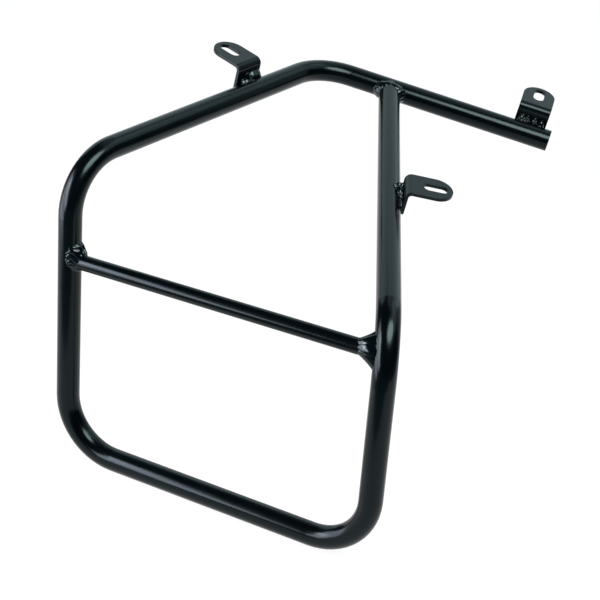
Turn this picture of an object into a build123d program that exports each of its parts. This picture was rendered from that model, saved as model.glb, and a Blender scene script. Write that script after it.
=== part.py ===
"""Pannier frame for the right-hand side of a motorbike.

One bent tube makes the bag hoop and the top frame that carries it. A crossbar stiffens the hoop, and three
folded tabs bolt the top frame to the bike. Weld beads hold these pieces together.

Sizes are in millimetres and angles in degrees. X points forward, Y inboard and Z up. The origin is the middle
of the rail end tab's slot, on the tab's seat face.
"""
import os
from math import asin, cos, radians, sin, tan

from build123d import *

# Tube and crossbar
tube_diameter = 18.0
tube_wall = 2.0
bend_radius = 45.0
crossbar_diameter = 12.0

# Bag hoop, between tube centre lines
hoop_width = 267.0
hoop_rear_height = 236.5
hoop_front_height = 175.5
crossbar_height = 160.0

# Top frame, in the sloping plane that holds the hoop's two upper corners
top_rise_angle = 5.85
rail_corner_forward = 42.5
rail_corner_inboard = 291.5
rail_splay_angle = 16.3
rail_length = 207.5
rail_joint_distance = 64.0

# Folded tabs: each web stands beside its tube, and each flange lies parallel to the top frame
tab_width = 27.5
tab_thickness = 3.0
tab_inner_bend_radius = 2.5
tab_reach = 46.5
tab_web_drop = 5.0
tab_web_corner_radius = 4.0
tab_edge_radius = 0.4
slot_width = 9.0
slot_length = 19.0
web_clearance = 0.2

# Places of the tabs along their runs, and heights of their seat faces above the tube's centre line
rear_tab_distance = 208.0
rear_tab_height = 22.0
side_tab_distance = 176.5
side_tab_height = 17.5
rail_tab_end_distance = 19.5
rail_tab_height = 22.0

# Weld beads
tab_weld_toe_angle = 60.0
tab_weld_leg = 4.2
tab_weld_root_height = 3.0
tab_weld_hollow = 0.8
tab_weld_inset = 1.0
collar_lip = 0.5
collar_side = 0.6
collar_overrun = 1.0
collar_neck_share = 0.45
rear_weld_bar_leg = 6.0
rear_weld_tube_leg = 7.5
rear_weld_rise = 2.5
front_weld_bar_leg = 10.0
front_weld_tube_leg = 11.0
front_weld_rise = 0.0
joint_weld_run_leg = 5.5
joint_weld_rail_leg = 6.5
joint_weld_rise = 0.0

tube_radius = tube_diameter / 2
bore_radius = tube_radius - tube_wall
crossbar_radius = crossbar_diameter / 2

# Corners of the tube's centre line, with the hoop's lower rear corner as a working origin
rear_bottom = Vector(0, 0, 0)
front_bottom = Vector(hoop_width, 0, 0)
rear_top = Vector(0, 0, hoop_rear_height)
front_top = Vector(hoop_width, 0, hoop_front_height)

top_forward = (front_top - rear_top).normalized()
level_inboard = Vector(0, 1, 0)
top_upright = top_forward.cross(level_inboard)
top_normal = top_upright * cos(radians(top_rise_angle)) - level_inboard * sin(radians(top_rise_angle))
top_inboard = top_normal.cross(top_forward)
rail_direction = top_forward * cos(radians(rail_splay_angle)) + top_inboard * sin(radians(rail_splay_angle))
rail_corner = rear_top + top_forward * rail_corner_forward + top_inboard * rail_corner_inboard
rail_end = rail_corner + rail_direction * rail_length
rail_joint = rail_corner + rail_direction * rail_joint_distance
rear_run_direction = (rail_corner - rear_top).normalized()
front_run_direction = (rail_joint - front_top).normalized()


def tab_frame(run_start: Vector, run_direction: Vector, distance: float, outward: Vector) -> Plane:
    """Frame of a tab: origin on the tube's centre line, X out to the tip and Z square to the top frame."""
    square = top_normal.cross(run_direction)
    if square.dot(outward) < 0:
        square = square * -1
    return Plane(origin=run_start + run_direction * distance, x_dir=square, z_dir=top_normal)


rear_tab_frame = tab_frame(rear_top, rear_run_direction, rear_tab_distance, top_forward * -1)
side_tab_frame = tab_frame(front_top, front_run_direction, side_tab_distance, top_forward)
rail_tab_frame = tab_frame(rail_end, rail_direction, -rail_tab_end_distance, top_inboard)
slot_centre = tab_reach - tab_width / 2
part_origin = rail_tab_frame.from_local_coords(Vector(slot_centre, 0, rail_tab_height))


def cylinder_between(start: Vector, end: Vector, radius: float) -> Part:
    """Round bar from one point to another."""
    direction = end - start
    return extrude(Plane(origin=start, z_dir=direction) * Circle(radius), amount=direction.length)


def bent_run(radius: float) -> Part:
    """Round section carried from the rail's open end, round five bends, to the middle of the front run."""
    run_middle = (front_top + rail_joint) * 0.5
    path = FilletPolyline(
        rail_end, rail_corner, rear_top, rear_bottom, front_bottom, front_top, run_middle, radius=bend_radius
    )
    return sweep(Plane(origin=path @ 0, z_dir=path % 0) * Circle(radius), path=path)


def last_run(radius: float) -> Part:
    """Rest of the upper front run, from its middle to the rail's centre line."""
    return cylinder_between((front_top + rail_joint) * 0.5, rail_joint, radius)


def crossbar_front_end() -> tuple[Vector, Vector]:
    """Point and direction of the front centre line at the crossbar's height, in its bend or below it."""
    upright = Vector(0, 0, 1)
    turn = upright.get_angle(front_run_direction)
    bend_start = hoop_front_height - bend_radius * tan(radians(turn / 2))
    bend_inward = (front_run_direction - upright * front_run_direction.dot(upright)).normalized()
    angle = asin(max(0.0, crossbar_height - bend_start) / bend_radius)
    point = Vector(hoop_width, 0, crossbar_height) + bend_inward * (bend_radius * (1 - cos(angle)))
    return point, upright * cos(angle) + bend_inward * sin(angle)


def make_tab(height: float) -> Part:
    """Flat bar folded once, in its own frame, with a round tip and a slot in the flange."""
    web_face = tube_radius + web_clearance
    web_back = web_face + tab_thickness
    outline = Polyline(
        (web_face, -tab_web_drop),
        (web_face, height),
        (tab_reach, height),
        (tab_reach, height - tab_thickness),
        (web_back, height - tab_thickness),
        (web_back, -tab_web_drop),
        close=True,
    )
    section = make_face(outline)
    outer_corner = section.vertices().sort_by_distance((web_face, height))[0]
    section = fillet(outer_corner, tab_inner_bend_radius + tab_thickness)
    inner_corner = section.vertices().sort_by_distance((web_back, height - tab_thickness))[0]
    section = fillet(inner_corner, tab_inner_bend_radius)
    folded = extrude(Plane.XZ * section, amount=tab_width / 2, both=True)
    straight = slot_centre - web_face
    plan = Pos(web_face + straight / 2, 0) * Rectangle(straight, tab_width)
    plan += Pos(slot_centre, 0) * Circle(tab_width / 2)
    plan -= Pos(slot_centre, 0) * SlotOverall(slot_length, slot_width)
    tab = folded & extrude(Pos(0, 0, -tab_web_drop) * plan, amount=height + tab_web_drop)
    web_end = tab.edges().filter_by(Axis.X).group_by(Axis.Z)[0]
    tab = fillet(web_end, tab_web_corner_radius)
    return fillet(tab.edges(), tab_edge_radius)


def make_tab_weld() -> Part:
    """Fillet in the groove between the tube's upper side and the tab's web, in the tab's own frame."""
    web_face = tube_radius + web_clearance
    toe_angle = radians(tab_weld_toe_angle)
    tube_toe = Vector(tube_radius * cos(toe_angle), tube_radius * sin(toe_angle))
    web_toe = Vector(web_face, tube_toe.Y + tab_weld_leg)
    chord = (web_toe - tube_toe).normalized()
    hollow = (web_toe + tube_toe) * 0.5 + Vector(chord.Y, -chord.X) * tab_weld_hollow
    face_arc = ThreePointArc(tube_toe, hollow, web_toe)
    sides = Polyline(web_toe, (web_face, tab_weld_root_height), (tube_toe.X, tab_weld_root_height), tube_toe)
    section = make_face(face_arc + sides)
    bead = extrude(Plane.XZ * section, amount=tab_width / 2 - tab_weld_inset, both=True)
    return bead - Rot(90, 0, 0) * Cylinder(tube_radius, 2 * tab_width)


def make_collar(
    centre: Vector,
    along_bar: Vector,
    along_tube: Vector,
    bar_radius: float,
    bar_leg: float,
    tube_leg: float,
    rise: float,
) -> Part:
    """Flared bead round the end of a bar that meets the tube, before both are cut out of it."""
    frame = Plane(origin=centre, x_dir=along_tube - along_bar * along_tube.dot(along_bar), z_dir=along_bar)
    side = max(tube_radius, bar_radius) + collar_side
    lip = bar_radius + collar_lip
    foot = bar_radius + tube_leg
    neck_along = lip + (foot - lip) * collar_neck_share
    neck_across = lip + (side - lip) * collar_neck_share
    sections = [
        frame.offset(-collar_overrun) * Pos(rise, 0) * Ellipse(foot, side),
        frame.offset(tube_radius) * Pos(rise * collar_neck_share, 0) * Ellipse(neck_along, neck_across),
        frame.offset(tube_radius + bar_leg) * Circle(lip),
    ]
    return loft(sections)


outer = bent_run(tube_radius) + last_run(tube_radius)
rail_body = cylinder_between(rail_corner, rail_end, tube_radius)
main_tube = outer - bent_run(bore_radius) - (last_run(bore_radius) - rail_body)

rear_end = Vector(0, 0, crossbar_height)
front_end, front_upright = crossbar_front_end()
crossbar_direction = (front_end - rear_end).normalized()
crossbar = cylinder_between(rear_end, front_end, crossbar_radius) - outer

rear_collar = make_collar(
    rear_end,
    crossbar_direction,
    Vector(0, 0, 1),
    crossbar_radius,
    rear_weld_bar_leg,
    rear_weld_tube_leg,
    rear_weld_rise,
)
front_collar = make_collar(
    front_end,
    crossbar_direction * -1,
    front_upright,
    crossbar_radius,
    front_weld_bar_leg,
    front_weld_tube_leg,
    front_weld_rise,
)
joint_collar = make_collar(
    rail_joint,
    front_run_direction * -1,
    rail_direction,
    tube_radius,
    joint_weld_run_leg,
    joint_weld_rail_leg,
    joint_weld_rise,
)

nodes = {
    "main_tube": main_tube,
    "crossbar": crossbar,
    "rear_top_tab": rear_tab_frame * make_tab(rear_tab_height),
    "side_tab": side_tab_frame * make_tab(side_tab_height),
    "rail_end_tab": rail_tab_frame * make_tab(rail_tab_height),
    "rear_top_tab_weld": rear_tab_frame * make_tab_weld(),
    "side_tab_weld": side_tab_frame * make_tab_weld(),
    "rail_end_tab_weld": rail_tab_frame * make_tab_weld(),
    "crossbar_rear_weld": rear_collar - outer - crossbar,
    "crossbar_front_weld": front_collar - outer - crossbar,
    "rail_joint_weld": joint_collar - outer,
}

os.makedirs("parts", exist_ok=True)
for name, solid in nodes.items():
    export_step(Pos(part_origin * -1) * solid, f"parts/{name}.step")
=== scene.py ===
"""Looks of a motorbike's pannier frame: black powder coat, rippled weld beads and a pale studio.

Lengths are in metres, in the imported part's frame: X forward, Y inboard and Z up.
"""
import logging
from dataclasses import dataclass
from enum import Enum
from math import cos, pi, radians, sin, tan
from typing import Callable

import bpy
import numpy as np
from mathutils import Matrix, Vector


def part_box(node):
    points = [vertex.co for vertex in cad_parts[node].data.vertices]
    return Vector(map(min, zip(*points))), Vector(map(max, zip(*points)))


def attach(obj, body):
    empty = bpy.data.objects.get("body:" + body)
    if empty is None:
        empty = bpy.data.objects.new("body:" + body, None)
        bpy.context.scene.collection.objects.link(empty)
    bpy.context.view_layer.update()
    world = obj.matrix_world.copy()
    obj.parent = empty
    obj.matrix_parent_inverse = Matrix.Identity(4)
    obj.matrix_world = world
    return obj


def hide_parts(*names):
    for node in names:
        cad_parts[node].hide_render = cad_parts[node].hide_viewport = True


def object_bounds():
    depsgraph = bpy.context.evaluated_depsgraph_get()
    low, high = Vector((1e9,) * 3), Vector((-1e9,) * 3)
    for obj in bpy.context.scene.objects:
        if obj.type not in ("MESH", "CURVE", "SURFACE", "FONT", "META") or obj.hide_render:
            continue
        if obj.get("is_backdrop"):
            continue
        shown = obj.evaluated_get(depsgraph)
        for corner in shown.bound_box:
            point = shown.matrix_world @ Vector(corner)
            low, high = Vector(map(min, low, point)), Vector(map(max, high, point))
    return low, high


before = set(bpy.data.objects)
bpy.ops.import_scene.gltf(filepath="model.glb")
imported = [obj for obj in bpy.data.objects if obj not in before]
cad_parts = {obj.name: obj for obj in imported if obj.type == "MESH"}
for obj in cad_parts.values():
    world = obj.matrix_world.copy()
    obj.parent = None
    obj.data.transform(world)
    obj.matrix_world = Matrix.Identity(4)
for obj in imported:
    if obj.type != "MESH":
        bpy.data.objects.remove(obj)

LOG = logging.getLogger("pannier_frame")
BODY = "root"
MM = 0.001
FLOOR_DROP = 0.2 * MM

# Places of sockets that share their name with others on the node
FIRST, SECOND, THIRD = 0, 1, 2
MIX_FACTOR, MIX_FIRST, MIX_SECOND, MIX_RESULT = 0, 6, 7, 2

Array = np.ndarray
AxisLine = Callable[[Array], tuple[Array, Array]]
Colour = tuple[float, float, float]
Socket = str | int

WHITE: Colour = (1.0, 1.0, 1.0)
ROSY: Colour = (1.0, 0.90, 0.98)
CREAM: Colour = (1.0, 1.0, 0.92)
COOL: Colour = (0.80, 0.97, 1.0)


def unit(vector: Array) -> Array:
    """Vector, or rows of vectors, scaled to length one."""
    return vector / np.linalg.norm(vector, axis=-1, keepdims=True)


def across(vector: Array, axis: Array) -> Array:
    """Unit part of a vector that lies square to a unit axis; both may be rows of vectors."""
    return unit(vector - axis * np.sum(vector * axis, axis=-1, keepdims=True))


def hump(share: Array) -> Array:
    """Parabola over 0 to 1: 0 at both ends and 1 in the middle."""
    return 4 * share * (1 - share)


def bearing(azimuth_deg: float, elevation_deg: float) -> Vector:
    """Unit direction at an azimuth, where 0 is outboard and 90 forward, and at an elevation."""
    azimuth, elevation = radians(azimuth_deg), radians(elevation_deg)
    return Vector((sin(azimuth) * cos(elevation), -cos(azimuth) * cos(elevation), sin(elevation)))


def opaque(colour: Colour) -> tuple[float, float, float, float]:
    """Colour with a full alpha, as a shader's sockets take it."""
    return (*colour, 1.0)


def new_object(name: str, data: bpy.types.ID) -> bpy.types.Object:
    """Puts a new object into the scene.

    Args:
        name: name of the object.
        data: its mesh, lamp or camera.

    Returns:
        The object, at the origin.
    """
    made = bpy.data.objects.new(name, data)
    bpy.context.scene.collection.objects.link(made)
    return made


@dataclass(frozen=True)
class TabFrame:
    """Local axes of a folded tab.

    Attributes:
        origin: point on the tube's centre line.
        out: direction from the tube to the tab's tip.
        along: direction along the tube.
        up: direction square to the top frame.
    """

    origin: Array
    out: Array
    along: Array
    up: Array

    def place(self, out: Array, along: Array, up: Array) -> Array:
        """Points of the part's frame from local coordinates of equal shape."""
        return (
            self.origin
            + out[..., None] * self.out
            + along[..., None] * self.along
            + up[..., None] * self.up
        )


@dataclass(frozen=True)
class FrameLayout:
    """Driving sizes of the tube frame, and the places worked out from them.

    Attributes:
        corner: lower rear corner of the tube's centre line.
        tube_radius: outer radius of the tube.
        crossbar_radius: radius of the crossbar.
        bend_radius: radius of the tube's bends, on its centre line.
        hoop_width: way between the hoop's uprights.
        rear_height: height of the hoop's upper rear corner.
        front_height: height of its upper front corner.
        crossbar_height: height of the crossbar.
        top_rise_deg: angle at which the top frame rises inboard.
        rail_corner_forward: way forward from the upper rear corner to the rail's corner.
        rail_corner_inboard: way inboard between the same two.
        rail_splay_deg: angle between the rail and the top frame's forward direction.
        rail_length: way from the rail's corner to its open end.
        rail_joint_distance: way from the rail's corner to its joint.
        rear_tab_distance: way along the rear top run to its tab.
        side_tab_distance: way along the upper front run to its tab.
        rail_tab_end_distance: way from the rail's open end back to its tab.
    """

    corner: Array
    tube_radius: float = 9.0 * MM
    crossbar_radius: float = 6.0 * MM
    bend_radius: float = 45.0 * MM
    hoop_width: float = 267.0 * MM
    rear_height: float = 236.5 * MM
    front_height: float = 175.5 * MM
    crossbar_height: float = 160.0 * MM
    top_rise_deg: float = 5.85
    rail_corner_forward: float = 42.5 * MM
    rail_corner_inboard: float = 291.5 * MM
    rail_splay_deg: float = 16.3
    rail_length: float = 207.5 * MM
    rail_joint_distance: float = 64.0 * MM
    rear_tab_distance: float = 208.0 * MM
    side_tab_distance: float = 176.5 * MM
    rail_tab_end_distance: float = 19.5 * MM

    @classmethod
    def from_packed_tube(cls) -> "FrameLayout":
        """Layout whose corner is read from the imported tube's box."""
        low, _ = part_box("main_tube")
        return cls(corner=np.array(low) + cls.tube_radius)

    @property
    def up(self) -> Array:
        """Direction of the hoop's uprights."""
        return np.array([0.0, 0.0, 1.0])

    @property
    def rear_top(self) -> Array:
        """Upper rear corner of the hoop."""
        return self.corner + self.up * self.rear_height

    @property
    def front_top(self) -> Array:
        """Upper front corner of the hoop."""
        return self.corner + np.array([self.hoop_width, 0.0, self.front_height])

    @property
    def top_axes(self) -> tuple[Array, Array, Array]:
        """Forward, inboard and normal directions of the top frame's plane."""
        forward = unit(self.front_top - self.rear_top)
        level = np.array([0.0, 1.0, 0.0])
        rise = radians(self.top_rise_deg)
        normal = np.cross(forward, level) * cos(rise) - level * sin(rise)
        return forward, np.cross(normal, forward), normal

    @property
    def rail_direction(self) -> Array:
        """Direction of the rail, from its corner to its open end."""
        forward, inboard, _ = self.top_axes
        splay = radians(self.rail_splay_deg)
        return forward * cos(splay) + inboard * sin(splay)

    @property
    def rail_corner(self) -> Array:
        """Corner between the rear top run and the rail."""
        forward, inboard, _ = self.top_axes
        return self.rear_top + forward * self.rail_corner_forward + inboard * self.rail_corner_inboard

    @property
    def rail_joint(self) -> Array:
        """Point of the rail's centre line where the upper front run meets it."""
        return self.rail_corner + self.rail_direction * self.rail_joint_distance

    @property
    def front_run_direction(self) -> Array:
        """Direction of the upper front run, from the hoop to the rail."""
        return unit(self.rail_joint - self.front_top)

    def tab_frame(self, start: Array, direction: Array, distance: float, outward: Array) -> TabFrame:
        """Local axes of a tab on a straight run.

        Args:
            start: point on the run's centre line.
            direction: unit direction of the run.
            distance: way along the run to the tab's middle.
            outward: rough direction of the tab's tip.

        Returns:
            The tab's axes, with out square to the run in the top frame's plane.
        """
        normal = self.top_axes[2]
        out = np.cross(normal, direction)
        out = out if out @ outward > 0 else -out
        return TabFrame(start + direction * distance, out, np.cross(normal, out), normal)

    @property
    def rear_tab(self) -> TabFrame:
        """Axes of the rear top tab, which points rearward."""
        direction = unit(self.rail_corner - self.rear_top)
        return self.tab_frame(self.rear_top, direction, self.rear_tab_distance, -self.top_axes[0])

    @property
    def side_tab(self) -> TabFrame:
        """Axes of the side tab, which points forward."""
        return self.tab_frame(
            self.front_top, self.front_run_direction, self.side_tab_distance, self.top_axes[0]
        )

    @property
    def rail_tab(self) -> TabFrame:
        """Axes of the rail end tab, which points inboard."""
        station = self.rail_length - self.rail_tab_end_distance
        return self.tab_frame(self.rail_corner, self.rail_direction, station, self.top_axes[1])

    def rear_upright(self, way: Array) -> tuple[Array, Array]:
        """Points and tangents of the rear centre line, measured up from the crossbar."""
        foot = self.corner + self.up * self.crossbar_height
        return foot + way[..., None] * self.up, np.broadcast_to(self.up, way.shape + (3,))

    def front_upright(self, way: Array) -> tuple[Array, Array]:
        """Points and tangents of the front centre line, measured up from the crossbar.

        The line is straight below the upper bend. In the bend, at an angle a, it has moved inward by
        R(1 - cos a) and up by R sin a.

        Args:
            way: ways along the line; less than 0 is below the crossbar.

        Returns:
            Points and unit tangents.
        """
        inward = across(self.front_run_direction, self.up)
        turn = np.arccos(self.front_run_direction @ self.up)
        bend_start = self.front_height - self.bend_radius * tan(turn / 2)
        start = self.corner + np.array([self.hoop_width, 0.0, bend_start])
        at_bar = np.arcsin(max(0.0, self.crossbar_height - bend_start) / self.bend_radius)
        angle = at_bar + way / self.bend_radius
        bent = np.maximum(angle, 0.0)
        below = np.minimum(angle, 0.0) * self.bend_radius
        point = (
            start
            + (self.bend_radius * (1 - np.cos(bent)))[..., None] * inward
            + (self.bend_radius * np.sin(bent) + below)[..., None] * self.up
        )
        tangent = np.cos(bent)[..., None] * self.up + np.sin(bent)[..., None] * inward
        return point, tangent

    def rail_line(self, way: Array) -> tuple[Array, Array]:
        """Points and tangents of the rail's centre line, measured forward from the joint."""
        direction = self.rail_direction
        return self.rail_joint + way[..., None] * direction, np.broadcast_to(direction, way.shape + (3,))


def mesh_object(
    name: str, rings: Array, ring_wraps: bool, poles: tuple[Array, Array] | None = None
) -> bpy.types.Object:
    """Closed mesh from rings of points, each ring itself closed.

    Neighbouring points of two neighbouring rings make a face of four corners, and each pole makes a fan of
    triangles.

    Args:
        name: name of the object and its mesh.
        rings: points as an array of rings by points by three.
        ring_wraps: whether the last ring joins the first, as on a torus.
        poles: first and last point of a shape whose ends close in a point.

    Returns:
        The new object, at the origin and shaded smooth.
    """
    count, size, _ = rings.shape
    index = np.arange(count * size).reshape(count, size)
    following = np.roll(index, -1, axis=0) if ring_wraps else index[1:]
    here = index if ring_wraps else index[:-1]
    quads = np.stack(
        [here, np.roll(here, -1, axis=1), np.roll(following, -1, axis=1), following], axis=-1
    ).reshape(-1, 4)
    vertices = rings.reshape(-1, 3)
    corners = quads.ravel()
    starts = np.arange(len(quads)) * 4
    if poles is not None:
        first, last = len(vertices), len(vertices) + 1
        vertices = np.vstack([vertices, np.array(poles)])
        head = np.stack([np.full(size, first), np.roll(index[0], -1), index[0]], axis=-1)
        tail = np.stack([np.full(size, last), index[-1], np.roll(index[-1], -1)], axis=-1)
        fans = np.vstack([head, tail])
        starts = np.concatenate([starts, len(corners) + np.arange(len(fans)) * 3])
        corners = np.concatenate([corners, fans.ravel()])
    first_corner, second_corner, third_corner = (vertices[quads[:, k]] for k in range(3))
    # A negative sum of triple products means that the faces point inwards
    if np.sum(first_corner * np.cross(second_corner, third_corner)) < 0:
        corners = corners[::-1]
        starts = len(corners) - starts - np.diff(np.append(starts, len(corners)))
        starts = starts[::-1]
    mesh = bpy.data.meshes.new(name)
    mesh.vertices.add(len(vertices))
    mesh.vertices.foreach_set("co", vertices.astype(np.float32).ravel())
    mesh.loops.add(len(corners))
    mesh.loops.foreach_set("vertex_index", corners.astype(np.int32))
    mesh.polygons.add(len(starts))
    mesh.polygons.foreach_set("loop_start", starts.astype(np.int32))
    mesh.update(calc_edges=True)
    mesh.validate()
    mesh.polygons.foreach_set("use_smooth", np.ones(len(mesh.polygons), dtype=bool))
    return new_object(name, mesh)


def ring_normals(grid: Array) -> Array:
    """Unit normals of a grid whose last row joins the first: the cross product of its two differences."""
    by_row = np.roll(grid, -1, axis=0) - np.roll(grid, 1, axis=0)
    return unit(np.cross(by_row, np.gradient(grid, axis=1)))


@dataclass(frozen=True)
class Ripple:
    """Frozen ripples of a weld bead.

    Attributes:
        pitch: way from one ripple to the next.
        height: height of a ripple's crest.
        bow: how far a ripple's middle runs ahead of its ends, in pitches.
        stray: how far ripples stray from even spacing, in pitches.
        swell: height of slow swellings along the bead.
        scallop: share by which the toes move in and out with the ripples.
        seed: start of the stray and the swell.
        fewest: least number of ripples on a bead.
        per_wave: number of ripples on each slow wave.
        second_wander: share of the second wave in the stray.
        arch_power: power that rounds the crests.
        mean_arch: mean height of an arch.
        wave_slants: how far the slow waves run ahead across the bead.
        toe_fade: power of the fade at the toes.
    """

    pitch: float
    height: float
    bow: float = 0.6
    stray: float = 0.2
    swell: float = 0.0
    scallop: float = 0.25
    seed: int = 1
    fewest: int = 3
    per_wave: int = 4
    second_wander: float = 0.5
    arch_power: float = 0.8
    mean_arch: float = 0.7
    wave_slants: tuple[float, float] = (2.0, -3.0)
    toe_fade: int = 4

    def count(self, length: float) -> int:
        """Whole number of ripples on a bead of a length."""
        return max(self.fewest, round(length / self.pitch))

    def slow_count(self, length: float) -> int:
        """Whole number of slow waves on a bead of a length."""
        return max(1, self.count(length) // self.per_wave)

    def phase(self, along: Array, share: Array, length: float) -> Array:
        """Place in pitches along the bead.

        The pitches are even steps, strayed by two sine waves and bowed by a parabola across the bead.

        Args:
            along: place along the bead, from 0 to 1.
            share: place across the bead, from 0 at one toe to 1 at the other.
            length: the bead's length.

        Returns:
            Phases of the same shape.
        """
        draws = np.random.default_rng(self.seed).uniform(0, 2 * np.pi, 2)
        slow = self.slow_count(length)
        first = np.sin(2 * np.pi * slow * along + draws[0])
        second = np.sin(2 * np.pi * (2 * slow + 1) * along + draws[1])
        wander = first + self.second_wander * second
        return self.count(length) * along + self.stray * wander + self.bow * hump(share)

    def toe_share(self, along: Array, length: float) -> Array:
        """Factor near 1 that moves the toes out at each crest and in at each valley."""
        arch = np.abs(np.sin(np.pi * self.phase(along, np.zeros_like(along), length)))
        return 1 + self.scallop * (arch - self.mean_arch)

    def relief(self, along: Array, share: Array, length: float) -> Array:
        """Height of the ripples over the bead.

        Each ripple is an arch |sin| of the phase, and slow waves lift and lower the whole. All of it fades
        out at both toes. The waves are whole ones, so a ring closes without a seam.

        Args:
            along: place along the bead, from 0 to 1.
            share: place across the bead, from 0 at one toe to 1 at the other.
            length: the bead's length.

        Returns:
            Heights of the same shape.
        """
        draws = np.random.default_rng(self.seed + 1).uniform(0, 2 * np.pi, 2)
        phase = self.phase(along, share, length)
        arches = self.height * np.abs(np.sin(np.pi * phase)) ** self.arch_power
        slow = self.slow_count(length)
        first = np.sin(2 * np.pi * slow * along + draws[0] + self.wave_slants[0] * share)
        second = np.sin(2 * np.pi * (slow + 1) * along + draws[1] + self.wave_slants[1] * share)
        return (arches + self.swell * (first + second)) * (1 - (2 * share - 1) ** self.toe_fade)


@dataclass(frozen=True)
class Sides:
    """A bead's values on four sides of a bar: ahead along the tube, near, behind and far."""

    ahead: float
    near: float
    behind: float
    far: float

    def at(self, angle: Array) -> Array:
        """Values round the bar: the lowest waves that pass through all four values.

        Args:
            angle: angles from ahead towards near.

        Returns:
            Values of the same shape.
        """
        mean = (self.ahead + self.near + self.behind + self.far) / 4
        fore = (self.ahead - self.behind) / 2
        side = (self.near - self.far) / 2
        oval = (self.ahead + self.behind - self.near - self.far) / 4
        return mean + fore * np.cos(angle) + side * np.sin(angle) + oval * np.cos(2 * angle)

    def outline(self, angle: Array, power: float) -> tuple[Array, Array]:
        """Flat closed curve through all four values: quarters of ellipses, squarer for a power below 1.

        Args:
            angle: angles from ahead towards near.
            power: power of the cosine and the sine.

        Returns:
            Ways ahead and ways towards near.
        """
        ahead, near = np.cos(angle), np.sin(angle)
        ahead_way = np.where(ahead > 0, self.ahead, self.behind) * np.sign(ahead) * np.abs(ahead) ** power
        near_way = np.where(near > 0, self.near, self.far) * np.sign(near) * np.abs(near) ** power
        return ahead_way, near_way


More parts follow.
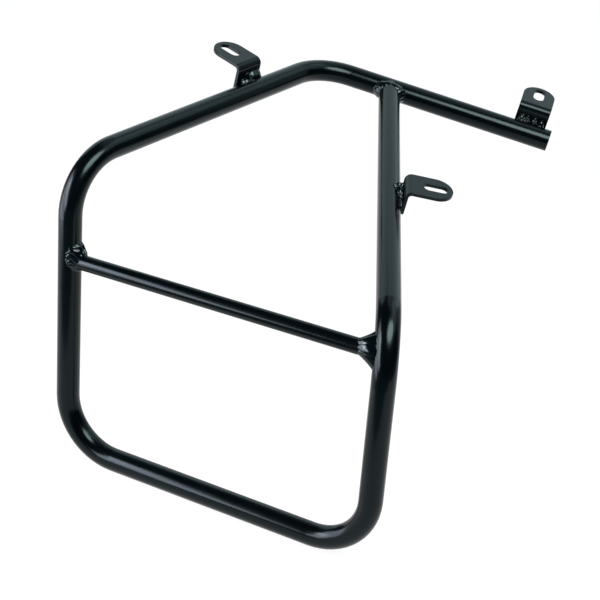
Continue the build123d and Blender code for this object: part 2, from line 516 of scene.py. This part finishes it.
@dataclass(frozen=True)
class SaddleBead:
    """Weld bead round the end of a bar that meets the side of a tube.

    Attributes:
        name: name of the piece.
        node: node that the piece stands for.
        axis_line: centre line of the tube, measured from the place where the bar's axis meets it.
        bar_direction: direction of the bar, away from the tube.
        near: rough direction of the bead's near side.
        bar_radius: radius of the bar.
        tube_radius: radius of the tube.
        bar_reach: way of the toe on the bar from the tube's centre line.
        tube_reach: way of the toe on the tube from the bar's axis, over the tube's surface.
        fullness: 1 for a flat face, less for a hollow one and more for a full one.
        crown: height of a bulge on the face.
        lumps: share of the ripples' height.
        ripple: ripples of the face.
        skew: how far the tube toe's near and far sides sit ahead of the bar's axis.
        power: squareness of the toe on the tube; 1 is an oval, less is squarer.
        root_share: way of the root from the bar's axis, as a share of the bar's radius.
        steps_round: number of sections round the bar.
        steps_across: number of points across the face.
        steps_back: number of points on each hidden side.
        sink: how far the toes lie inside the bar and the tube.
    """

    name: str
    node: str
    axis_line: AxisLine
    bar_direction: Array
    near: Array
    bar_radius: float
    tube_radius: float
    bar_reach: Sides
    tube_reach: Sides
    fullness: Sides
    crown: Sides
    lumps: Sides
    ripple: Ripple
    skew: float = 0.0
    power: float = 1.0
    root_share: float = 0.7
    steps_round: int = 360
    steps_across: int = 44
    steps_back: int = 5
    sink: float = 0.12 * MM

    def on_tube(self, way: Array, angle: Array) -> Array:
        """Points of the tube's outside.

        Args:
            way: ways along the tube's centre line.
            angle: angles round the tube, from the bar's side towards near.

        Returns:
            The points.
        """
        point, tangent = self.axis_line(way)
        towards = across(np.broadcast_to(self.bar_direction, point.shape), tangent)
        sideways = across(np.broadcast_to(self.near, point.shape), tangent)
        sideways = across(sideways, towards)
        radius = self.tube_radius - self.sink
        return point + radius * (np.cos(angle)[..., None] * towards + np.sin(angle)[..., None] * sideways)

    def build(self) -> bpy.types.Object:
        """Mesh of the bead.

        Round the bar, the bead's section has three corners: its toe on the bar, its toe on the tube and a
        root inside both. The face is a quadratic curve between the toes, pulled to or from the line where
        bar and tube meet as the fullness says, and lifted along its normals by the crown and the ripples.

        Returns:
            The new object.
        """
        angle = np.linspace(0, 2 * np.pi, self.steps_round, endpoint=False)
        centre, tangent = self.axis_line(np.zeros(1))
        lean = float(tangent[0] @ self.bar_direction)
        rise = np.sqrt(1 - lean**2)
        ahead = across(tangent[0], self.bar_direction)
        sideways = across(across(self.near, self.bar_direction), ahead)
        radial = np.cos(angle)[:, None] * ahead + np.sin(angle)[:, None] * sideways
        overlap = np.clip(self.bar_radius * np.sin(angle), -self.tube_radius, self.tube_radius)
        slant = self.bar_radius * np.cos(angle) * lean / rise
        meeting = np.sqrt(self.tube_radius**2 - overlap**2) / rise + slant
        met = centre[0] + meeting[:, None] * self.bar_direction + self.bar_radius * radial
        root = met - (1 - self.root_share) * self.bar_radius * radial
        turn = angle / (2 * np.pi)
        length = np.pi * (self.bar_radius + float(np.mean(self.tube_reach.at(angle))))
        edge = self.ripple.toe_share(turn, length)
        bar_way = meeting + (self.bar_reach.at(angle) + slant - meeting) * edge
        bar_toe = centre[0] + bar_way[:, None] * self.bar_direction + (self.bar_radius - self.sink) * radial
        ahead_way, near_way = self.tube_reach.outline(angle, self.power)
        tube_way = self.tube_radius * lean / rise + self.skew * np.abs(np.sin(angle)) + ahead_way * edge
        tube_toe = self.on_tube(tube_way, near_way * edge / self.tube_radius)
        pull = met + self.fullness.at(angle)[:, None] * ((bar_toe + tube_toe) / 2 - met)
        share = np.linspace(0, 1, self.steps_across)[None, :, None]
        face = (
            (1 - share) ** 2 * bar_toe[:, None]
            + 2 * share * (1 - share) * pull[:, None]
            + share**2 * tube_toe[:, None]
        )
        normals = ring_normals(face)
        outward = face.mean(axis=1) - root
        if np.mean(np.sum(normals.mean(axis=1) * outward, axis=-1)) < 0:
            normals = -normals
        along = np.broadcast_to(turn[:, None], face.shape[:2])
        place = np.broadcast_to(share[..., 0], along.shape)
        bulge = self.crown.at(angle)[:, None] * hump(place)
        lift = bulge + self.lumps.at(angle)[:, None] * self.ripple.relief(along, place, length)
        face = face + normals * lift[..., None]
        back = np.linspace(0, 1, self.steps_back + 2)[None, 1:-1, None]
        under_tube = tube_toe[:, None] * (1 - back) + root[:, None] * back
        under_bar = root[:, None] * (1 - back) + bar_toe[:, None] * back
        rings = np.concatenate([face, under_tube, root[:, None], under_bar], axis=1)
        return mesh_object(self.name, rings, ring_wraps=True)


@dataclass(frozen=True)
class GrooveBead:
    """Weld bead in the groove between a tube's upper side and a tab's upright web.

    Attributes:
        name: name of the piece.
        node: node that the piece stands for.
        tab: axes of the tab.
        tube_radius: radius of the tube.
        ripple: ripples of the face.
        length: length of the bead along the tube.
        cap: length over which the bead runs out at each end.
        taper: power of the run-out; 0.5 is a quarter ellipse, more is a longer, lower tail.
        toe_deg: angle of the toe on the tube, above the tube's side.
        web_leg: height of the toe on the web above the toe on the tube.
        root_height: height of the bead's root above the tube's centre line.
        web_clearance: gap between the web and the tube's side.
        crown: how far the face bulges.
        lean: share by which the bead is larger at the end that the tab's along axis points to.
        shift: way along that axis from the tab's middle to the bead's middle.
        steps_along: number of sections along the bead.
        steps_across: number of points across the face.
        steps_back: number of points on each hidden side.
        sink: how far the toes lie inside the tube and the web.
        tube_scallop: share of the scallops that the toe on the tube follows.
        least_normal: tiny length that keeps the face's normals from being zero.
    """

    name: str
    node: str
    tab: TabFrame
    tube_radius: float
    ripple: Ripple
    length: float = 25.5 * MM
    cap: float = 4.0 * MM
    taper: float = 0.5
    toe_deg: float = 60.0
    web_leg: float = 4.2 * MM
    root_height: float = 2.2 * MM
    web_clearance: float = 0.2 * MM
    crown: float = 0.5 * MM
    lean: float = 0.0
    shift: float = 0.0
    steps_along: int = 240
    steps_across: int = 36
    steps_back: int = 6
    sink: float = 0.12 * MM
    tube_scallop: float = 0.5
    least_normal: float = 1e-12

    def build(self) -> bpy.types.Object:
        """Mesh of the bead.

        At each place along the tube the section runs from its toe on the tube over a bulging face to its
        toe on the web, then back round the root. At each end the run-out draws both toes into the root.

        Returns:
            The new object.
        """
        half = self.length / 2
        turn = np.linspace(-np.pi / 2, np.pi / 2, self.steps_along + 2)[1:-1]
        place = half * np.sin(turn)
        beyond = np.clip((np.abs(place) - (half - self.cap)) / self.cap, 0, 1)
        swell = (1 - beyond**2) ** self.taper * (1 + self.lean * place / half)
        edge = self.ripple.toe_share((place + half) / self.length, self.length)
        root_angle = np.arcsin(self.root_height / self.tube_radius)
        tube_edge = 1 + (edge - 1) * self.tube_scallop
        toe_angle = root_angle + (radians(self.toe_deg) - root_angle) * swell * tube_edge
        radius = self.tube_radius - self.sink
        web_out = self.tube_radius + self.web_clearance + self.sink
        toe_top = self.tube_radius * sin(radians(self.toe_deg)) + self.web_leg
        tube_toe = np.stack([radius * np.cos(toe_angle), radius * np.sin(toe_angle)], axis=-1)
        web_height = self.root_height + (toe_top - self.root_height) * swell * edge
        web_toe = np.stack([np.full_like(place, web_out), web_height], axis=-1)
        share = np.linspace(0, 1, self.steps_across)[None, :]
        chord = web_toe - tube_toe
        bulge = unit(np.stack([-chord[:, 1], chord[:, 0]], axis=-1) + self.least_normal)
        along = np.broadcast_to(((place + half) / self.length)[:, None], (len(place), self.steps_across))
        spread = np.broadcast_to(share, along.shape)
        lift = (self.crown * hump(spread) + self.ripple.relief(along, spread, self.length)) * swell[:, None]
        flat = tube_toe[:, None] + share[..., None] * chord[:, None]
        face = flat + lift[..., None] * bulge[:, None]
        back = np.linspace(0, 1, self.steps_back + 2)[None, 1:-1]
        root = np.stack([np.full_like(place, web_out), np.full_like(place, self.root_height)], axis=-1)
        down_web = web_toe[:, None] * (1 - back[..., None]) + root[:, None] * back[..., None]
        back_angle = root_angle + (toe_angle - root_angle)[:, None] * back
        up_tube = np.stack([radius * np.cos(back_angle), radius * np.sin(back_angle)], axis=-1)
        section = np.concatenate([face, down_web, root[:, None], up_tube], axis=1)
        lengthwise = np.broadcast_to(place[:, None] + self.shift, section.shape[:2])
        rings = self.tab.place(section[..., 0], lengthwise, section[..., 1])
        ends = self.tab.place(
            np.full(2, web_out), np.array([-half, half]) + self.shift, np.full(2, self.root_height)
        )
        return mesh_object(self.name, rings, ring_wraps=False, poles=(ends[0], ends[1]))


class CoatEffect(Enum):
    """Shader groups that the coats share."""

    ORANGE_PEEL = "orange_peel"
    COAT_DRIFT = "coat_drift"


class NodePad:
    """Places and links the nodes of one shader tree."""

    def __init__(self, tree: bpy.types.NodeTree) -> None:
        """Clears the tree and keeps it."""
        self.tree = tree
        tree.nodes.clear()

    def add(self, kind: str, **inputs: object) -> bpy.types.Node:
        """Adds a node to the tree.

        Args:
            kind: Blender's name for the kind of node.
            inputs: plain values by input name, with underscores for spaces.

        Returns:
            The new node.
        """
        node = self.tree.nodes.new(kind)
        self.fill(node, inputs)
        return node

    def add_colour_mix(self) -> bpy.types.Node:
        """Adds a Mix node that blends two colours.

        Returns:
            The new node.
        """
        node = self.add("ShaderNodeMix")
        node.data_type = "RGBA"
        return node

    def add_larger(self) -> bpy.types.Node:
        """Adds a Math node that gives the larger of two values.

        Returns:
            The new node.
        """
        node = self.add("ShaderNodeMath")
        node.operation = "MAXIMUM"
        return node

    def add_effect(self, effect: CoatEffect, **inputs: object) -> bpy.types.Node:
        """Adds a shared effect's group to the tree.

        Args:
            effect: the effect.
            inputs: plain values by input name, with underscores for spaces.

        Returns:
            The new node.
        """
        node = self.add("ShaderNodeGroup")
        node.node_tree = bpy.data.node_groups[effect.value]
        self.fill(node, inputs)
        return node

    def fill(self, node: bpy.types.Node, inputs: dict[str, object]) -> None:
        """Gives plain values to a node's named inputs, whose names have underscores for spaces."""
        for name, value in inputs.items():
            node.inputs[name.replace("_", " ")].default_value = value

    def link(self, source: bpy.types.Node, output: Socket, target: bpy.types.Node, entry: Socket) -> None:
        """Link from a node's output to another node's input, each by its name or its place."""
        self.tree.links.new(source.outputs[output], target.inputs[entry])


def new_group(
    effect: CoatEffect, inputs: dict[str, str], outputs: dict[str, str]
) -> tuple[NodePad, bpy.types.Node, bpy.types.Node]:
    """Empty shader group with named sockets.

    Args:
        effect: the effect that names the group.
        inputs: socket types by input name.
        outputs: socket types by output name.

    Returns:
        The group's pad, its input node and its output node.
    """
    tree = bpy.data.node_groups.new(effect.value, "ShaderNodeTree")
    for name, kind in inputs.items():
        tree.interface.new_socket(name=name, in_out="INPUT", socket_type=kind)
    for name, kind in outputs.items():
        tree.interface.new_socket(name=name, in_out="OUTPUT", socket_type=kind)
    pad = NodePad(tree)
    return pad, pad.add("NodeGroupInput"), pad.add("NodeGroupOutput")


def build_orange_peel() -> None:
    """Group for the skin of powder coat: fine dimples over a slow wave, as a height from 0 to 1."""
    scalar = "NodeSocketFloat"
    octaves, decay = 1.0, 0.4
    pad, given, out = new_group(
        CoatEffect.ORANGE_PEEL,
        {"Vector": "NodeSocketVector", "Fine Scale": scalar, "Broad Scale": scalar, "Broad Share": scalar},
        {"Height": scalar},
    )
    fine = pad.add("ShaderNodeTexNoise", Detail=octaves, Roughness=decay)
    broad = pad.add("ShaderNodeTexNoise", Detail=octaves, Roughness=decay)
    mix = pad.add("ShaderNodeMix")
    pad.link(given, "Vector", fine, "Vector")
    pad.link(given, "Vector", broad, "Vector")
    pad.link(given, "Fine Scale", fine, "Scale")
    pad.link(given, "Broad Scale", broad, "Scale")
    pad.link(given, "Broad Share", mix, "Factor")
    pad.link(fine, "Fac", mix, "A")
    pad.link(broad, "Fac", mix, "B")
    pad.link(mix, "Result", out, "Height")


def build_coat_drift() -> None:
    """Group for the slow drift of a coat: its colour and its roughness move between two values."""
    scalar, colour = "NodeSocketFloat", "NodeSocketColor"
    octaves, decay = 4.0, 0.55
    lowest, highest = 0.3, 0.7
    pad, given, out = new_group(
        CoatEffect.COAT_DRIFT,
        {
            "Vector": "NodeSocketVector",
            "Scale": scalar,
            "Dark": colour,
            "Light": colour,
            "Smooth": scalar,
            "Dull": scalar,
        },
        {"Color": colour, "Roughness": scalar},
    )
    noise = pad.add("ShaderNodeTexNoise", Detail=octaves, Roughness=decay)
    spread = pad.add("ShaderNodeMapRange", From_Min=lowest, From_Max=highest)
    tint = pad.add_colour_mix()
    dull = pad.add("ShaderNodeMix")
    pad.link(given, "Vector", noise, "Vector")
    pad.link(given, "Scale", noise, "Scale")
    pad.link(noise, "Fac", spread, "Value")
    pad.link(spread, "Result", tint, MIX_FACTOR)
    pad.link(given, "Dark", tint, MIX_FIRST)
    pad.link(given, "Light", tint, MIX_SECOND)
    pad.link(tint, MIX_RESULT, out, "Color")
    pad.link(spread, "Result", dull, "Factor")
    pad.link(given, "Smooth", dull, "A")
    pad.link(given, "Dull", dull, "B")
    pad.link(dull, "Result", out, "Roughness")


@dataclass(frozen=True)
class PowderCoat:
    """Black powder coat.

    Attributes:
        name: name of the material.
        dark: darker colour of the drift.
        light: lighter colour of the drift.
        smooth: roughness where the coat flowed out.
        dull: roughness where it stayed thin.
        peel_depth: depth of the orange peel.
        peel_width: width of its fine dimples.
        broad_ratio: scale of its slow wave, as a share of the fine dimples' scale.
        broad_share: share of the slow wave in its height.
        drift_width: width of the slow drift.
        specular: level of the mirror reflection.
        mirror_tint: tint of the mirror reflection.
    """

    name: str
    dark: Colour = (0.0002, 0.0009, 0.0013)
    light: Colour = (0.0006, 0.0016, 0.0022)
    smooth: float = 0.17
    dull: float = 0.21
    peel_depth: float = 0.004 * MM
    peel_width: float = 1.9 * MM
    broad_ratio: float = 0.22
    broad_share: float = 0.55
    drift_width: float = 26.0 * MM
    specular: float = 0.22
    mirror_tint: Colour = (0.70, 0.93, 1.0)

    def material(self) -> bpy.types.Material:
        """Makes the coat's material, with its peel as bump and its drift in colour and roughness.

        Returns:
            The new material.
        """
        made = bpy.data.materials.new(self.name)
        made.use_nodes = True
        pad = NodePad(made.node_tree)
        place = pad.add("ShaderNodeTexCoord")
        peel = pad.add_effect(
            CoatEffect.ORANGE_PEEL,
            Fine_Scale=1 / self.peel_width,
            Broad_Scale=self.broad_ratio / self.peel_width,
            Broad_Share=self.broad_share,
        )
        drift = pad.add_effect(
            CoatEffect.COAT_DRIFT,
            Scale=1 / self.drift_width,
            Dark=opaque(self.dark),
            Light=opaque(self.light),
            Smooth=self.smooth,
            Dull=self.dull,
        )
        bump = pad.add("ShaderNodeBump", Strength=1.0, Distance=self.peel_depth)
        skin = pad.add(
            "ShaderNodeBsdfPrincipled",
            Specular_IOR_Level=self.specular,
            Specular_Tint=opaque(self.mirror_tint),
        )
        out = pad.add("ShaderNodeOutputMaterial")
        pad.link(place, "Object", peel, "Vector")
        pad.link(place, "Object", drift, "Vector")
        pad.link(peel, "Height", bump, "Height")
        pad.link(drift, "Color", skin, "Base Color")
        pad.link(drift, "Roughness", skin, "Roughness")
        pad.link(bump, "Normal", skin, "Normal")
        pad.link(skin, "BSDF", out, "Surface")
        return made


def dress(piece: bpy.types.Object, material: bpy.types.Material) -> None:
    """Gives a piece one material."""
    piece.data.materials.clear()
    piece.data.materials.append(material)


@dataclass
class PackedWork:
    """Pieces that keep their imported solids.

    Attributes:
        nodes: names of the solids.
        coat: their coat.
    """

    nodes: tuple[str, ...]
    coat: PowderCoat

    def dress(self) -> None:
        """Coats the pieces."""
        material = self.coat.material()
        for node in self.nodes:
            dress(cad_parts[node], material)
            LOG.info("coated %s", node)


@dataclass
class TubeWork(PackedWork):
    """Bent tube and crossbar."""

    nodes: tuple[str, ...] = ("main_tube", "crossbar")
    coat: PowderCoat = PowderCoat("tube_coat")


@dataclass
class TabWork(PackedWork):
    """Folded tabs, with a duller coat than the tube's."""

    nodes: tuple[str, ...] = ("rear_top_tab", "side_tab", "rail_end_tab")
    coat: PowderCoat = PowderCoat("tab_coat", smooth=0.2, dull=0.25)


@dataclass
class WeldWork:
    """Weld beads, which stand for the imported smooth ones.

    Attributes:
        layout: sizes and places of the tube frame.
        coat: their coat, which flows out smoother than the tube's.
    """

    layout: FrameLayout
    coat: PowderCoat = PowderCoat("weld_coat", smooth=0.1, dull=0.15, peel_width=1.2 * MM, specular=0.4)

    def groove_beads(self) -> list[GrooveBead]:
        """Sizes the beads at the feet of the three tabs.

        Returns:
            The rear, the side and the rail end tab's bead.
        """
        radius = self.layout.tube_radius
        calm = Ripple(pitch=8.5 * MM, height=0.15 * MM, bow=0.8, swell=0.25 * MM, seed=3)
        lumpy = Ripple(pitch=7.0 * MM, height=0.8 * MM, bow=0.8, swell=0.2 * MM, seed=5)
        even = Ripple(pitch=7.0 * MM, height=0.8 * MM, bow=0.8, swell=0.2 * MM, seed=8)
        rear = GrooveBead(
            name="rear_top_tab_weld_bead",
            node="rear_top_tab_weld",
            tab=self.layout.rear_tab,
            tube_radius=radius,
            ripple=calm,
            length=31.0 * MM,
            cap=9.0 * MM,
            taper=1.7,
            web_leg=5.5 * MM,
            crown=0.1 * MM,
            lean=-0.25,
            shift=-3.0 * MM,
        )
        side = GrooveBead(
            name="side_tab_weld_bead",
            node="side_tab_weld",
            tab=self.layout.side_tab,
            tube_radius=radius,
            ripple=lumpy,
            toe_deg=62.0,
            web_leg=1.0 * MM,
            lean=0.55,
            shift=-2.2 * MM,
        )
        rail = GrooveBead(
            name="rail_end_tab_weld_bead",
            node="rail_end_tab_weld",
            tab=self.layout.rail_tab,
            tube_radius=radius,
            ripple=even,
        )
        return [rear, side, rail]

    def saddle_beads(self) -> list[SaddleBead]:
        """Sizes the beads round the crossbar's ends and round the joint of the front run and the rail.

        Returns:
            The crossbar's rear and front bead, and the joint's.
        """
        layout = self.layout
        rear_point = layout.rear_upright(np.zeros(1))[0][0]
        front_point = layout.front_upright(np.zeros(1))[0][0]
        along_bar = unit(front_point - rear_point)
        outboard = np.array([0.0, -1.0, 0.0])
        rear = SaddleBead(
            name="crossbar_rear_weld_bead",
            node="crossbar_rear_weld",
            axis_line=layout.rear_upright,
            bar_direction=along_bar,
            near=outboard,
            bar_radius=layout.crossbar_radius,
            tube_radius=layout.tube_radius,
            bar_reach=Sides(15.0 * MM, 11.0 * MM, 11.2 * MM, 10.7 * MM),
            tube_reach=Sides(15.0 * MM, 12.6 * MM, 8.6 * MM, 11.0 * MM),
            fullness=Sides(0.85, 1.25, 1.0, 1.1),
            crown=Sides(0.2 * MM, 0.3 * MM, 0.1 * MM, 0.2 * MM),
            lumps=Sides(1.3, 0.6, 0.5, 1.0),
            ripple=Ripple(pitch=4.4 * MM, height=0.6 * MM, bow=1.2, scallop=0.08, seed=12),
            skew=3.0 * MM,
        )
        front = SaddleBead(
            name="crossbar_front_weld_bead",
            node="crossbar_front_weld",
            axis_line=layout.front_upright,
            bar_direction=-along_bar,
            near=outboard,
            bar_radius=layout.crossbar_radius,
            tube_radius=layout.tube_radius,
            bar_reach=Sides(21.0 * MM, 19.5 * MM, 20.5 * MM, 18.0 * MM),
            tube_reach=Sides(14.5 * MM, 9.8 * MM, 14.5 * MM, 8.0 * MM),
            fullness=Sides(0.7, 1.05, 0.6, 1.0),
            crown=Sides(0.0, 1.5 * MM, 0.0, 0.5 * MM),
            lumps=Sides(0.6, 1.0, 0.6, 1.0),
            ripple=Ripple(pitch=6.0 * MM, height=0.05 * MM, bow=1.0, scallop=0.08, seed=21),
        )
        joint = SaddleBead(
            name="rail_joint_weld_bead",
            node="rail_joint_weld",
            axis_line=layout.rail_line,
            bar_direction=-layout.front_run_direction,
            near=layout.top_axes[2],
            bar_radius=layout.tube_radius,
            tube_radius=layout.tube_radius,
            bar_reach=Sides(14.3 * MM, 10.3 * MM, 14.3 * MM, 11.0 * MM),
            tube_reach=Sides(14.3 * MM, 9.9 * MM, 14.3 * MM, 9.9 * MM),
            fullness=Sides(1.0, 1.0, 1.0, 1.0),
            crown=Sides(0.2 * MM, 1.5 * MM, 0.2 * MM, 0.3 * MM),
            lumps=Sides(0.2, 0.35, 0.8, 0.8),
            ripple=Ripple(pitch=5.0 * MM, height=0.42 * MM, bow=0.8, scallop=0.08, seed=31),
            power=0.7,
        )
        return [rear, front, joint]

    def build(self) -> None:
        """Builds, coats and seats every bead."""
        material = self.coat.material()
        for bead in [*self.groove_beads(), *self.saddle_beads()]:
            piece = bead.build()
            dress(piece, material)
            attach(piece, BODY)
            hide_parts(bead.node)
            LOG.info("built %s with %d faces", piece.name, len(piece.data.polygons))


class LampForm(Enum):
    """Outlines of a lamp's face."""

    SHEET = "RECTANGLE"
    OVAL = "ELLIPSE"

    @property
    def area_share(self) -> float:
        """Share of its box that the face fills."""
        return pi / 4 if self is LampForm.OVAL else 1.0


@dataclass(frozen=True)
class Softbox:
    """Soft studio lamp that faces a target.

    Attributes:
        name: name of the lamp.
        azimuth_deg: direction of the lamp from the target; 0 is outboard and 90 forward.
        elevation_deg: height of the lamp above the target.
        distance: way from the target to the lamp.
        width: width of the lamp's face.
        height: height of the lamp's face.
        radiance: brightness of the face, where 1 is white.
        roll_deg: turn of the face about its own axis.
        tint: colour of the lamp.
        form: outline of the face.
        power_factor: power of a lamp for each unit of radiance and area, as the renderer counts it.
    """

    name: str
    azimuth_deg: float
    elevation_deg: float
    distance: float
    width: float
    height: float
    radiance: float
    roll_deg: float = 0.0
    tint: Colour = WHITE
    form: LampForm = LampForm.SHEET
    power_factor: float = 4.0

    def build(self, target: Vector) -> None:
        """Adds the lamp; its power is its radiance times its area times the power factor.

        Args:
            target: the point that the lamp faces.
        """
        back = bearing(self.azimuth_deg, self.elevation_deg)
        lamp = bpy.data.lights.new(self.name, "AREA")
        lamp.shape = self.form.value
        lamp.size = self.width
        lamp.size_y = self.height
        area = self.width * self.height * self.form.area_share
        lamp.energy = self.power_factor * self.radiance * area
        lamp.color = self.tint
        holder = new_object(self.name, lamp)
        facing = (-back).to_track_quat("-Z", "Y").to_matrix().to_4x4()
        roll = Matrix.Rotation(radians(self.roll_deg), 4, "Z")
        holder.matrix_world = Matrix.Translation(target + back * self.distance) @ facing @ roll
        holder.visible_camera = False


@dataclass
class Studio:
    """Pale floor, soft lamps and dim room.

    Attributes:
        target: middle of the object.
        floor_height: height of the floor.
        outboard_edge: way from the target to the white floor's outboard edge.
        forward_edge: way from the target to its forward edge.
        far_edge: way from the target to its other two edges.
        floor_glow: brightness of the floor, where 1 is white.
        floor_shade: grey of the part of the floor that takes the shadow.
        floor_bounce: grey of the floor for soft light.
        room_above: light of the room above the horizon.
        room_below: light of the room below it, past the floor's edges.
        room_step: height over which the one changes into the other.
        lamps: the lamps.
    """

    target: Vector
    floor_height: float
    outboard_edge: float = 0.385
    forward_edge: float = 0.71
    far_edge: float = 9.0
    floor_glow: float = 0.93
    floor_shade: float = 0.10
    floor_bounce: float = 0.3
    room_above: Colour = (0.032, 0.036, 0.040)
    room_below: Colour = (0.16, 0.21, 0.24)
    room_step: float = 0.2
    lamps: tuple[Softbox, ...] = (
        Softbox(
            name="left_softbox", azimuth_deg=-33.5, elevation_deg=15.0, distance=1.1,
            width=0.29, height=0.8, radiance=8.2, tint=ROSY, roll_deg=44.0,
        ),
        Softbox(
            name="left_wing", azimuth_deg=-49.5, elevation_deg=7.5, distance=0.95,
            width=0.66, height=0.8, radiance=4.7, tint=ROSY,
        ),
        Softbox(
            name="upper_core", azimuth_deg=55.0, elevation_deg=53.0, distance=1.05,
            width=0.82, height=0.54, radiance=9.2, tint=CREAM, form=LampForm.OVAL,
        ),
        Softbox(
            name="upper_halo", azimuth_deg=54.0, elevation_deg=53.0, distance=1.07,
            width=1.08, height=0.82, radiance=0.4, tint=CREAM, form=LampForm.OVAL,
        ),
        Softbox(
            name="rear_sheet", azimuth_deg=-156.0, elevation_deg=28.0, distance=1.8,
            width=3.7, height=1.7, radiance=0.83, tint=COOL,
        ),
        Softbox(
            name="right_sheet", azimuth_deg=130.0, elevation_deg=50.0, distance=1.8,
            width=1.5, height=1.0, radiance=0.95, tint=COOL,
        ),
        Softbox(
            name="rear_upper_sheet", azimuth_deg=168.0, elevation_deg=68.0, distance=1.8,
            width=1.7, height=0.9, radiance=0.5, tint=COOL,
        ),
        Softbox(
            name="forward_fill", azimuth_deg=142.0, elevation_deg=14.0, distance=1.8,
            width=1.0, height=1.2, radiance=0.35, tint=COOL,
        ),
    )

    def floor_material(self) -> bpy.types.Material:
        """Makes a floor that is white to look at or mirrored, with a faint shadow, and grey for soft light.

        Returns:
            The new material.
        """
        made = bpy.data.materials.new("studio_floor")
        made.use_nodes = True
        pad = NodePad(made.node_tree)
        path = pad.add("ShaderNodeLightPath")
        mirrored = pad.add_larger()
        looked = pad.add_larger()
        glow = pad.add("ShaderNodeEmission", Color=opaque(WHITE), Strength=self.floor_glow)
        shade = pad.add("ShaderNodeBsdfDiffuse", Color=opaque((self.floor_shade,) * 3))
        both = pad.add("ShaderNodeAddShader")
        bounce = pad.add("ShaderNodeBsdfDiffuse", Color=opaque((self.floor_bounce,) * 3))
        pick = pad.add("ShaderNodeMixShader")
        out = pad.add("ShaderNodeOutputMaterial")
        pad.link(path, "Is Glossy Ray", mirrored, FIRST)
        pad.link(path, "Is Transmission Ray", mirrored, SECOND)
        pad.link(path, "Is Camera Ray", looked, FIRST)
        pad.link(mirrored, "Value", looked, SECOND)
        pad.link(glow, "Emission", both, FIRST)
        pad.link(shade, "BSDF", both, SECOND)
        pad.link(looked, "Value", pick, FIRST)
        pad.link(bounce, "BSDF", pick, SECOND)
        pad.link(both, "Shader", pick, THIRD)
        pad.link(pick, "Shader", out, "Surface")
        return made

    def build_floor(self) -> None:
        """Flat floor: a rectangle of four points."""
        rear, forward = self.target.x - self.far_edge, self.target.x + self.forward_edge
        outboard, inboard = self.target.y - self.outboard_edge, self.target.y + self.far_edge
        rim = [(rear, outboard), (forward, outboard), (forward, inboard), (rear, inboard)]
        mesh = bpy.data.meshes.new("studio_floor")
        mesh.from_pydata([(x, y, self.floor_height) for x, y in rim], [], [list(range(len(rim)))])
        floor = new_object("studio_floor", mesh)
        dress(floor, self.floor_material())
        floor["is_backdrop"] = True

    def build_room(self) -> None:
        """Dim light from all round, a little brighter below the horizon."""
        world = bpy.data.worlds.new("studio_room")
        world.use_nodes = True
        pad = NodePad(world.node_tree)
        place = pad.add("ShaderNodeTexCoord")
        parts = pad.add("ShaderNodeSeparateXYZ")
        level = pad.add("ShaderNodeMapRange", From_Min=-self.room_step, From_Max=0.0)
        blend = pad.add_colour_mix()
        blend.inputs[MIX_FIRST].default_value = opaque(self.room_below)
        blend.inputs[MIX_SECOND].default_value = opaque(self.room_above)
        room = pad.add("ShaderNodeBackground", Strength=1.0)
        out = pad.add("ShaderNodeOutputWorld")
        pad.link(place, "Generated", parts, "Vector")
        pad.link(parts, "Z", level, "Value")
        pad.link(level, "Result", blend, MIX_FACTOR)
        pad.link(blend, MIX_RESULT, room, "Color")
        pad.link(room, "Background", out, "Surface")
        bpy.context.scene.world = world

    def build(self) -> None:
        """Adds the floor, the room and the lamps."""
        self.build_floor()
        self.build_room()
        for lamp in self.lamps:
            lamp.build(self.target)


@dataclass(frozen=True)
class PhotoCamera:
    """Camera at the photograph's viewing angle.

    Attributes:
        eye: place of the camera.
        azimuth_deg: direction of the camera; 0 looks along +Y.
        elevation_deg: angle at which it looks down.
        roll_deg: tilt of its picture.
        lens_mm: focal length.
        sensor_mm: width of the sensor.
        farthest: way to the farthest thing that it shows.
    """

    eye: tuple[float, float, float] = (0.42184, -1.23996, 0.39183)
    azimuth_deg: float = 27.202
    elevation_deg: float = 25.026
    roll_deg: float = 4.68
    lens_mm: float = 93.09
    sensor_mm: float = 36.0
    farthest: float = 50.0

    def build(self) -> None:
        """Adds the camera and makes it the scene's own."""
        azimuth, roll = radians(self.azimuth_deg), radians(self.roll_deg)
        back = bearing(self.azimuth_deg, self.elevation_deg)
        level = Vector((cos(azimuth), sin(azimuth), 0))
        upright = back.cross(level)
        right = level * cos(roll) + upright * sin(roll)
        up = back.cross(right)
        data = bpy.data.cameras.new("photo_camera")
        data.sensor_width = self.sensor_mm
        data.lens = self.lens_mm
        data.clip_end = self.farthest
        camera = new_object("photo_camera", data)
        axes = Matrix((right, up, back)).transposed()
        camera.matrix_world = Matrix.Translation(self.eye) @ axes.to_4x4()
        bpy.context.scene.camera = camera


def main() -> None:
    """Builds the beads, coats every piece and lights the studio."""
    logging.basicConfig(level=logging.INFO, format="%(name)s: %(message)s")
    packed_low, packed_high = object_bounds()
    bpy.context.scene.view_settings.view_transform = "Standard"
    PhotoCamera().build()
    build_orange_peel()
    build_coat_drift()
    TubeWork().dress()
    TabWork().dress()
    WeldWork(FrameLayout.from_packed_tube()).build()
    Studio(target=(packed_low + packed_high) / 2, floor_height=packed_low.z - FLOOR_DROP).build()


if __name__ == "__main__":
    main()
